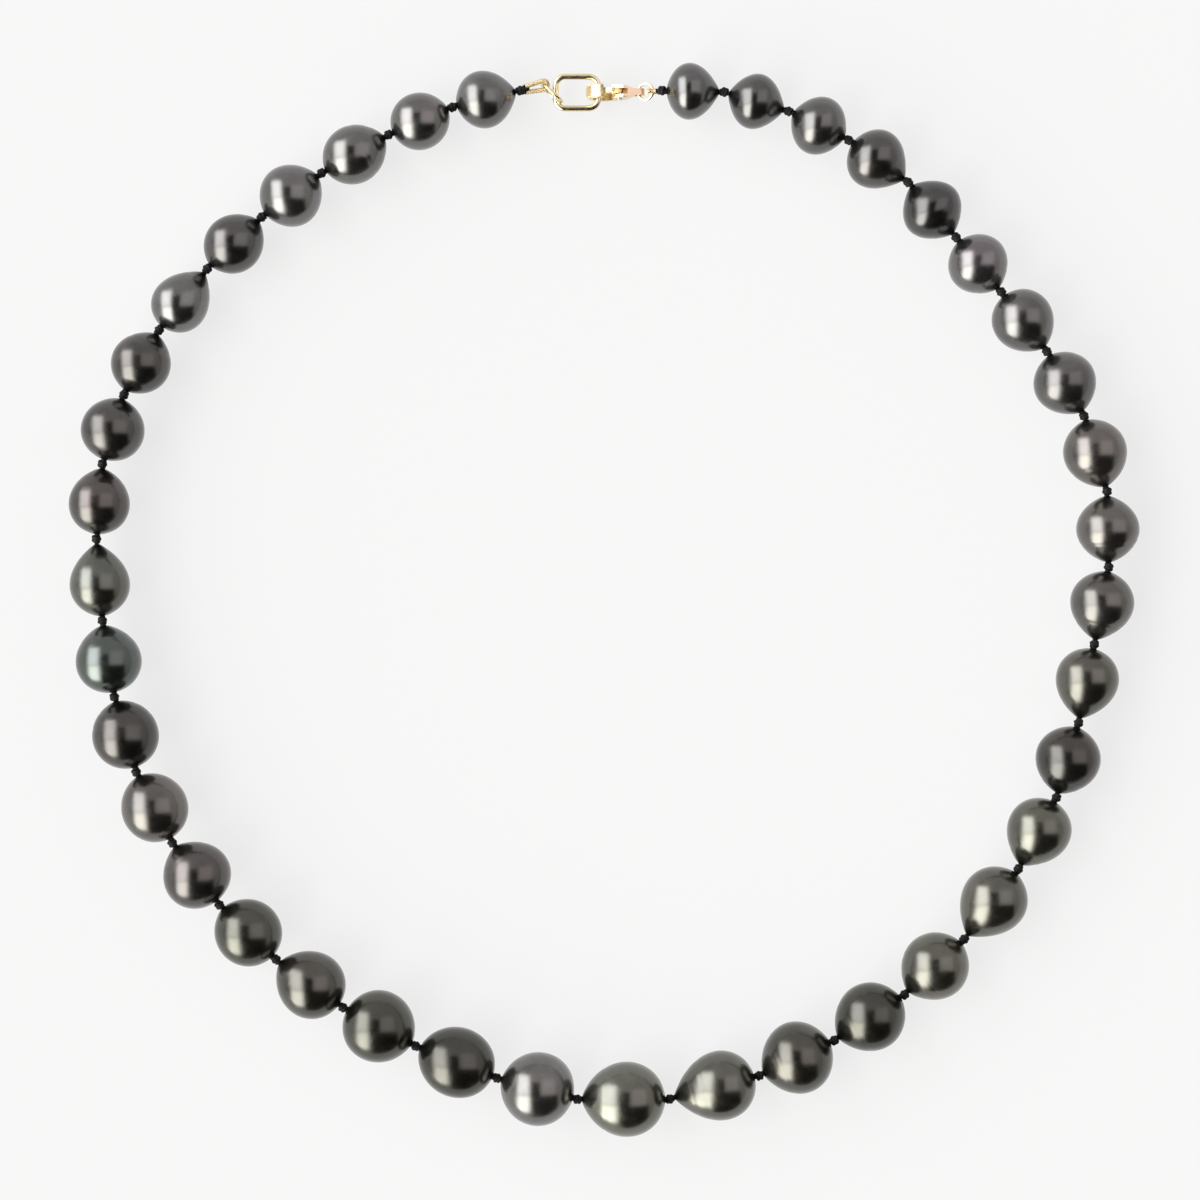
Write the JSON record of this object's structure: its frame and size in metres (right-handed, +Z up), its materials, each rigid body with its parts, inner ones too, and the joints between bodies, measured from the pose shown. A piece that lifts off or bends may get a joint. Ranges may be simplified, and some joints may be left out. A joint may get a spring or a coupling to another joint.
{
  "type": "pearl necklace",
  "caption": "Graduated strand of dark drop-shaped pearls, knotted on black silk and closed in a loop by a gold lobster clasp on an oval link.",
  "frame": {"origin": "on the table under the middle of the loop's bounding box", "axes": "+Z up, +Y towards the clasp, +X to the right when seen from above with the clasp at the top"},
  "size_m": [0.1503, 0.1505, 0.0105],
  "materials": {
    "pearl_grey": "satin nacre, grey with a violet overtone",
    "pearl_mauve": "satin nacre, grey with a rose overtone",
    "pearl_olive": "satin nacre, grey with a green and bronze overtone",
    "pearl_silver": "satin nacre, light silver grey",
    "pearl_green": "satin nacre, grey with a peacock green overtone",
    "silk": "twisted black silk cord",
    "gold": "polished yellow gold",
    "gimp_wire": "fine wound gold wire",
    "spring_steel": "drawn spring wire"
  },
  "bodies": {
    "pearl_01": {"pearl_01": "pearl_grey"},
    "pearl_02": {"pearl_02": "pearl_grey", "silk_01": "silk"},
    "pearl_03": {"pearl_03": "pearl_grey"},
    "pearl_04": {"pearl_04": "pearl_grey"},
    "pearl_05": {"pearl_05": "pearl_grey"},
    "pearl_06": {"pearl_06": "pearl_grey", "silk_02": "silk"},
    "pearl_07": {"pearl_07": "pearl_grey"},
    "pearl_08": {"pearl_08": "pearl_grey"},
    "pearl_09": {"pearl_09": "pearl_mauve"},
    "pearl_10": {"pearl_10": "pearl_mauve", "silk_03": "silk"},
    "pearl_11": {"pearl_11": "pearl_mauve"},
    "pearl_12": {"pearl_12": "pearl_olive"},
    "pearl_13": {"pearl_13": "pearl_mauve"},
    "pearl_14": {"pearl_14": "pearl_olive", "silk_04": "silk"},
    "pearl_15": {"pearl_15": "pearl_olive"},
    "pearl_16": {"pearl_16": "pearl_olive"},
    "pearl_17": {"pearl_17": "pearl_olive"},
    "pearl_18": {"pearl_18": "pearl_olive", "silk_05": "silk"},
    "pearl_19": {"pearl_19": "pearl_olive"},
    "pearl_20": {"pearl_20": "pearl_olive"},
    "pearl_21": {"pearl_21": "pearl_silver"},
    "pearl_22": {"pearl_22": "pearl_olive", "silk_06": "silk"},
    "pearl_23": {"pearl_23": "pearl_olive"},
    "pearl_24": {"pearl_24": "pearl_olive"},
    "pearl_25": {"pearl_25": "pearl_olive"},
    "pearl_26": {"pearl_26": "pearl_mauve", "silk_07": "silk"},
    "pearl_27": {"pearl_27": "pearl_mauve"},
    "pearl_28": {"pearl_28": "pearl_mauve"},
    "pearl_29": {"pearl_29": "pearl_green"},
    "pearl_30": {"pearl_30": "pearl_green", "silk_08": "silk"},
    "pearl_31": {"pearl_31": "pearl_mauve"},
    "pearl_32": {"pearl_32": "pearl_mauve"},
    "pearl_33": {"pearl_33": "pearl_mauve"},
    "pearl_34": {"pearl_34": "pearl_grey", "silk_09": "silk"},
    "pearl_35": {"pearl_35": "pearl_grey"},
    "pearl_36": {"pearl_36": "pearl_grey"},
    "pearl_37": {"pearl_37": "pearl_grey"},
    "pearl_38": {"pearl_38": "pearl_grey", "silk_10": "silk"},
    "pearl_39": {"pearl_39": "pearl_grey"},
    "link_gimp": {"gimp_loop_link": "gimp_wire"},
    "jump_ring": {"jump_ring": "gold"},
    "oval_link": {"oval_link": "gold"},
    "tail_gimp": {"gimp_loop_tail": "gimp_wire"},
    "tail_ring": {"tail_ring": "gold"},
    "clasp": {"clasp_body": "gold", "clasp_rivet": "gold", "clasp_spring": "spring_steel"},
    "lever": {"clasp_lever": "gold"}
  },
  "joints": [
    {"name": "knot_20_bend", "type": "hinge", "parent": "pearl_20", "child": "pearl_21", "pos_m": [-0.0043, -0.0698, 0.00522], "axis": [0, 0, 1], "range_deg": [-4, 4], "deforming": ["silk_06"]},
    {"name": "knot_21_bend", "type": "hinge", "parent": "pearl_21", "child": "pearl_22", "pos_m": [-0.01555, -0.06685, 0.00507], "axis": [0, 0, 1], "range_deg": [-4, 4], "deforming": ["silk_06"]},
    {"name": "knot_22_bend", "type": "hinge", "parent": "pearl_22", "child": "pearl_23", "pos_m": [-0.02693, -0.06237, 0.00502], "axis": [0, 0, 1], "range_deg": [-4, 4], "deforming": ["silk_06"]},
    {"name": "knot_23_bend", "type": "hinge", "parent": "pearl_23", "child": "pearl_24", "pos_m": [-0.03714, -0.05699, 0.00492], "axis": [0, 0, 1], "range_deg": [-5.53, 5.53], "deforming": ["silk_06"]},
    {"name": "knot_24_bend", "type": "hinge", "parent": "pearl_24", "child": "pearl_25", "pos_m": [-0.04652, -0.05029, 0.00473], "axis": [0, 0, 1], "range_deg": [-7.7, 7.7], "deforming": ["silk_07"]},
    {"name": "knot_25_bend", "type": "hinge", "parent": "pearl_25", "child": "pearl_26", "pos_m": [-0.05446, -0.04263, 0.00477], "axis": [0, 0, 1], "range_deg": [-1.26, 1.26], "deforming": ["silk_07"]},
    {"name": "knot_26_bend", "type": "hinge", "parent": "pearl_26", "child": "pearl_27", "pos_m": [-0.06106, -0.03391, 0.00477], "axis": [0, 0, 1], "range_deg": [-2.48, 2.48], "deforming": ["silk_07"]},
    {"name": "knot_27_bend", "type": "hinge", "parent": "pearl_27", "child": "pearl_28", "pos_m": [-0.06612, -0.02399, 0.0047], "axis": [0, 0, 1], "range_deg": [-4.02, 4.02], "deforming": ["silk_07"]},
    {"name": "knot_28_bend", "type": "hinge", "parent": "pearl_28", "child": "pearl_29", "pos_m": [-0.0692, -0.0135, 0.00468], "axis": [0, 0, 1], "range_deg": [-3.54, 3.54], "deforming": ["silk_08"]},
    {"name": "knot_29_bend", "type": "hinge", "parent": "pearl_29", "child": "pearl_30", "pos_m": [-0.07091, -0.0028, 0.00445], "axis": [0, 0, 1], "range_deg": [-16.79, 16.79], "deforming": ["silk_08"]},
    {"name": "knot_30_bend", "type": "hinge", "parent": "pearl_30", "child": "pearl_31", "pos_m": [-0.07176, 0.0087, 0.00428], "axis": [0, 0, 1], "range_deg": [-9.31, 9.31], "deforming": ["silk_08"]},
    {"name": "knot_31_bend", "type": "hinge", "parent": "pearl_31", "child": "pearl_32", "pos_m": [-0.0709, 0.0192, 0.0044], "axis": [0, 0, 1], "range_deg": [-7.88, 7.88], "deforming": ["silk_08"]},
    {"name": "knot_32_bend", "type": "hinge", "parent": "pearl_32", "child": "pearl_33", "pos_m": [-0.0679, 0.02888, 0.00438], "axis": [0, 0, 1], "range_deg": [-11.04, 11.04], "deforming": ["silk_09"]},
    {"name": "knot_33_bend", "type": "hinge", "parent": "pearl_33", "child": "pearl_34", "pos_m": [-0.06299, 0.03797, 0.00413], "axis": [0, 0, 1], "range_deg": [-1.26, 1.26], "deforming": ["silk_09"]},
    {"name": "knot_34_bend", "type": "hinge", "parent": "pearl_34", "child": "pearl_35", "pos_m": [-0.05623, 0.04657, 0.00405], "axis": [0, 0, 1], "range_deg": [-1.26, 1.26], "deforming": ["silk_09"]},
    {"name": "knot_35_bend", "type": "hinge", "parent": "pearl_35", "child": "pearl_36", "pos_m": [-0.04858, 0.0538, 0.00428], "axis": [0, 0, 1], "range_deg": [-5.29, 5.29], "deforming": ["silk_09"]},
    {"name": "knot_36_bend", "type": "hinge", "parent": "pearl_36", "child": "pearl_37", "pos_m": [-0.04018, 0.06, 0.0043], "axis": [0, 0, 1], "range_deg": [-1.26, 1.26], "deforming": ["silk_10"]},
    {"name": "knot_37_bend", "type": "hinge", "parent": "pearl_37", "child": "pearl_38", "pos_m": [-0.03079, 0.0654, 0.0041], "axis": [0, 0, 1], "range_deg": [-16.63, 16.63], "deforming": ["silk_10"]},
    {"name": "knot_38_bend", "type": "hinge", "parent": "pearl_38", "child": "pearl_39", "pos_m": [-0.02185, 0.06925, 0.00407], "axis": [0, 0, 1], "range_deg": [-1.26, 1.26], "deforming": ["silk_10"]},
    {"name": "link_end_bend", "type": "hinge", "parent": "pearl_39", "child": "link_gimp", "pos_m": [-0.0123, 0.0716, 0.0041], "axis": [0, 0, 1], "range_deg": [-8.8, 8.8], "deforming": ["silk_10"]},
    {"name": "jump_ring_swing", "type": "hinge", "parent": "link_gimp", "child": "jump_ring", "pos_m": [-0.00909, 0.07249, 0.00297], "axis": [0, 0, 1], "range_deg": [-8.8, 8.8]},
    {"name": "oval_link_swing", "type": "hinge", "parent": "jump_ring", "child": "oval_link", "pos_m": [-0.00736, 0.07105, 0.0022], "axis": [0, 0, 1], "range_deg": [-33.7, 33.7]},
    {"name": "knot_19_bend", "type": "hinge", "parent": "pearl_20", "child": "pearl_19", "pos_m": [0.00864, -0.06979, 0.00507], "axis": [0, 0, 1], "range_deg": [-4, 4], "deforming": ["silk_05"]},
    {"name": "knot_18_bend", "type": "hinge", "parent": "pearl_19", "child": "pearl_18", "pos_m": [0.02116, -0.06654, 0.00502], "axis": [0, 0, 1], "range_deg": [-1.26, 1.26], "deforming": ["silk_05"]},
    {"name": "knot_17_bend", "type": "hinge", "parent": "pearl_18", "child": "pearl_17", "pos_m": [0.03169, -0.0616, 0.005], "axis": [0, 0, 1], "range_deg": [-15.73, 15.73], "deforming": ["silk_05"]},
    {"name": "knot_16_bend", "type": "hinge", "parent": "pearl_17", "child": "pearl_16", "pos_m": [0.04154, -0.05522, 0.0048], "axis": [0, 0, 1], "range_deg": [-1.26, 1.26], "deforming": ["silk_05"]},
    {"name": "knot_15_bend", "type": "hinge", "parent": "pearl_16", "child": "pearl_15", "pos_m": [0.04993, -0.04745, 0.00473], "axis": [0, 0, 1], "range_deg": [-1.26, 1.26], "deforming": ["silk_04"]},
    {"name": "knot_14_bend", "type": "hinge", "parent": "pearl_15", "child": "pearl_14", "pos_m": [0.05752, -0.03761, 0.00462], "axis": [0, 0, 1], "range_deg": [-1.26, 1.26], "deforming": ["silk_04"]},
    {"name": "knot_13_bend", "type": "hinge", "parent": "pearl_14", "child": "pearl_13", "pos_m": [0.06287, -0.02762, 0.00458], "axis": [0, 0, 1], "range_deg": [-6.41, 6.41], "deforming": ["silk_04"]},
    {"name": "knot_12_bend", "type": "hinge", "parent": "pearl_13", "child": "pearl_12", "pos_m": [0.06599, -0.01714, 0.00453], "axis": [0, 0, 1], "range_deg": [-13.22, 13.22], "deforming": ["silk_04"]},
    {"name": "knot_11_bend", "type": "hinge", "parent": "pearl_12", "child": "pearl_11", "pos_m": [0.06821, -0.00613, 0.00447], "axis": [0, 0, 1], "range_deg": [-6.67, 6.67], "deforming": ["silk_03"]},
    {"name": "knot_10_bend", "type": "hinge", "parent": "pearl_11", "child": "pearl_10", "pos_m": [0.07021, 0.00473, 0.00447], "axis": [0, 0, 1], "range_deg": [-8.75, 8.75], "deforming": ["silk_03"]},
    {"name": "knot_09_bend", "type": "hinge", "parent": "pearl_10", "child": "pearl_09", "pos_m": [0.06999, 0.01536, 0.00447], "axis": [0, 0, 1], "range_deg": [-15.06, 15.06], "deforming": ["silk_03"]},
    {"name": "knot_08_bend", "type": "hinge", "parent": "pearl_09", "child": "pearl_08", "pos_m": [0.06676, 0.02591, 0.00447], "axis": [0, 0, 1], "range_deg": [-2.44, 2.44], "deforming": ["silk_03"]},
    {"name": "knot_07_bend", "type": "hinge", "parent": "pearl_08", "child": "pearl_07", "pos_m": [0.06156, 0.03495, 0.0044], "axis": [0, 0, 1], "range_deg": [-2.9, 2.9], "deforming": ["silk_02"]},
    {"name": "knot_06_bend", "type": "hinge", "parent": "pearl_07", "child": "pearl_06", "pos_m": [0.05516, 0.04332, 0.00432], "axis": [0, 0, 1], "range_deg": [-5.71, 5.71], "deforming": ["silk_02"]},
    {"name": "knot_05_bend", "type": "hinge", "parent": "pearl_06", "child": "pearl_05", "pos_m": [0.04884, 0.05098, 0.00432], "axis": [0, 0, 1], "range_deg": [-1.26, 1.26], "deforming": ["silk_02"]},
    {"name": "knot_04_bend", "type": "hinge", "parent": "pearl_05", "child": "pearl_04", "pos_m": [0.04211, 0.05869, 0.00432], "axis": [0, 0, 1], "range_deg": [-1.26, 1.26], "deforming": ["silk_02"]},
    {"name": "knot_03_bend", "type": "hinge", "parent": "pearl_04", "child": "pearl_03", "pos_m": [0.03377, 0.06462, 0.00425], "axis": [0, 0, 1], "range_deg": [-8.13, 8.13], "deforming": ["silk_01"]},
    {"name": "knot_02_bend", "type": "hinge", "parent": "pearl_03", "child": "pearl_02", "pos_m": [0.02536, 0.06868, 0.00407], "axis": [0, 0, 1], "range_deg": [-2.38, 2.38], "deforming": ["silk_01"]},
    {"name": "knot_01_bend", "type": "hinge", "parent": "pearl_02", "child": "pearl_01", "pos_m": [0.01633, 0.07141, 0.00398], "axis": [0, 0, 1], "range_deg": [-6.95, 6.95], "deforming": ["silk_01"]},
    {"name": "tail_end_bend", "type": "hinge", "parent": "pearl_01", "child": "tail_gimp", "pos_m": [0.0076, 0.0716, 0.004], "axis": [0, 0, 1], "range_deg": [-4.22, 4.22], "deforming": ["silk_01"]},
    {"name": "tail_ring_swing", "type": "hinge", "parent": "tail_gimp", "child": "tail_ring", "pos_m": [0.00632, 0.0716, 0.00339], "axis": [0, 0, 1], "range_deg": [-3.44, 3.44]},
    {"name": "clasp_roll", "type": "hinge", "parent": "tail_ring", "child": "clasp", "pos_m": [0.00425, 0.0716, 0.0024], "axis": [1, 0, 0], "range_deg": [-12, 12]},
    {"name": "lever_press", "type": "hinge", "parent": "clasp", "child": "lever", "pos_m": [0.00165, 0.0716, 0.00225], "axis": [0, 1, 0], "range_deg": [0, 20], "stiffness_Nm_per_rad": 0.003, "springref_deg": -5.73, "deforming": ["clasp_spring"]}
  ],
  "couplings": [
    {"joint": "knot_23_bend", "follows": "knot_19_bend", "ratio": -1.1029},
    {"joint": "knot_24_bend", "follows": "knot_20_bend", "ratio": 1.5365},
    {"joint": "knot_25_bend", "follows": "knot_21_bend", "ratio": -0.25},
    {"joint": "knot_26_bend", "follows": "knot_22_bend", "ratio": 0.4934},
    {"joint": "knot_27_bend", "follows": "knot_19_bend", "ratio": 0.8011},
    {"joint": "knot_28_bend", "follows": "knot_20_bend", "ratio": -0.7044},
    {"joint": "knot_29_bend", "follows": "knot_21_bend", "ratio": -3.3547},
    {"joint": "knot_30_bend", "follows": "knot_22_bend", "ratio": -1.8594},
    {"joint": "knot_31_bend", "follows": "knot_19_bend", "ratio": 1.5728},
    {"joint": "knot_32_bend", "follows": "knot_20_bend", "ratio": -2.2043},
    {"joint": "knot_33_bend", "follows": "knot_21_bend", "ratio": -0.25},
    {"joint": "knot_34_bend", "follows": "knot_22_bend", "ratio": 0.25},
    {"joint": "knot_35_bend", "follows": "knot_19_bend", "ratio": -1.0554},
    {"joint": "knot_36_bend", "follows": "knot_20_bend", "ratio": 0.25},
    {"joint": "knot_37_bend", "follows": "knot_21_bend", "ratio": 3.324},
    {"joint": "knot_38_bend", "follows": "knot_22_bend", "ratio": 0.25},
    {"joint": "link_end_bend", "follows": "knot_19_bend", "ratio": 0.25},
    {"joint": "jump_ring_swing", "follows": "knot_20_bend", "ratio": 0.25},
    {"joint": "oval_link_swing", "follows": "knot_21_bend", "ratio": -0.9607},
    {"joint": "tail_ring_swing", "follows": "knot_20_bend", "ratio": -0.6855},
    {"joint": "tail_end_bend", "follows": "knot_20_bend", "ratio": -0.8419},
    {"joint": "knot_01_bend", "follows": "knot_21_bend", "ratio": -1.3861},
    {"joint": "knot_02_bend", "follows": "knot_22_bend", "ratio": -0.473},
    {"joint": "knot_03_bend", "follows": "knot_19_bend", "ratio": 1.6238},
    {"joint": "knot_04_bend", "follows": "knot_20_bend", "ratio": -0.25},
    {"joint": "knot_05_bend", "follows": "knot_21_bend", "ratio": -0.25},
    {"joint": "knot_06_bend", "follows": "knot_22_bend", "ratio": -1.1399},
    {"joint": "knot_07_bend", "follows": "knot_19_bend", "ratio": -0.5767},
    {"joint": "knot_08_bend", "follows": "knot_20_bend", "ratio": -0.4859},
    {"joint": "knot_09_bend", "follows": "knot_21_bend", "ratio": 3.0094},
    {"joint": "knot_10_bend", "follows": "knot_22_bend", "ratio": 1.7469},
    {"joint": "knot_11_bend", "follows": "knot_19_bend", "ratio": -1.3314},
    {"joint": "knot_12_bend", "follows": "knot_20_bend", "ratio": 2.6412},
    {"joint": "knot_13_bend", "follows": "knot_21_bend", "ratio": 1.279},
    {"joint": "knot_14_bend", "follows": "knot_22_bend", "ratio": 0.25},
    {"joint": "knot_15_bend", "follows": "knot_19_bend", "ratio": -0.25},
    {"joint": "knot_16_bend", "follows": "knot_20_bend", "ratio": -0.25},
    {"joint": "knot_17_bend", "follows": "knot_21_bend", "ratio": -3.1437},
    {"joint": "knot_18_bend", "follows": "knot_22_bend", "ratio": -0.25}
  ]
}
